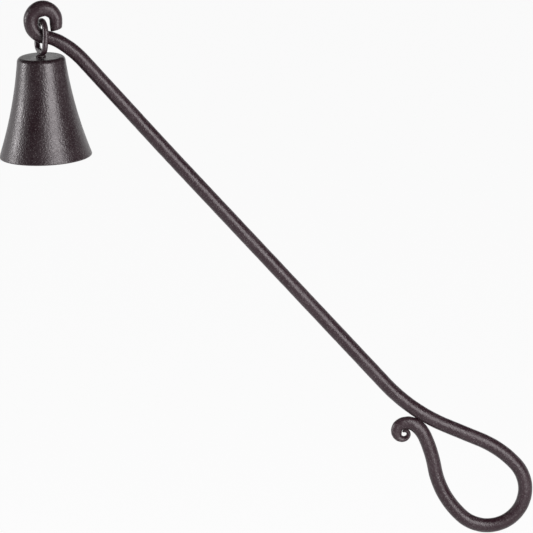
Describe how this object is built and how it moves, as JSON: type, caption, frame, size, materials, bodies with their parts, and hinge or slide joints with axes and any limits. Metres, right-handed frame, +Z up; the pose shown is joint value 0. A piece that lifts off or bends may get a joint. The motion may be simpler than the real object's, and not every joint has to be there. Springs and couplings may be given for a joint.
{
  "type": "candle snuffer",
  "caption": "Candle snuffer: forged bar handle with hook eye, teardrop hand loop and scroll end, carrying a flared bell that swings and turns on a wire eye.",
  "frame": {"origin": "centre of the hand loop's round bow, in the handle's mid plane", "axes": "the handle lies in the XZ plane, sloping up to -X as the hand holds it; +Z up; the bell hangs plumb along -Z below the hook; +Y away from the viewer"},
  "size_m": [0.2253, 0.0402, 0.2459],
  "materials": {
    "forged_bar": "dark brown black fine textured coating over forged steel",
    "hanger_wire": "dark brown black fine textured coating over steel wire",
    "bell_shell": "dark brown black fine textured coating over turned steel"
  },
  "bodies": {
    "handle": {"handle": "forged_bar"},
    "hanger": {"hanger_eye": "hanger_wire", "hanger_collar": "hanger_wire", "inner_washer": "hanger_wire"},
    "bell": {"bell": "bell_shell"}
  },
  "joints": [
    {"name": "hanger_swing", "type": "hinge", "parent": "handle", "child": "hanger", "pos_m": [-0.1843, 0, 0.21715], "axis": [0, 1, 0], "range_deg": [-3, 270]},
    {"name": "bell_swivel", "type": "hinge", "parent": "hanger", "child": "bell", "pos_m": [-0.18554, 0, 0.20154], "axis": [0, 0, 1], "continuous": true}
  ]
}
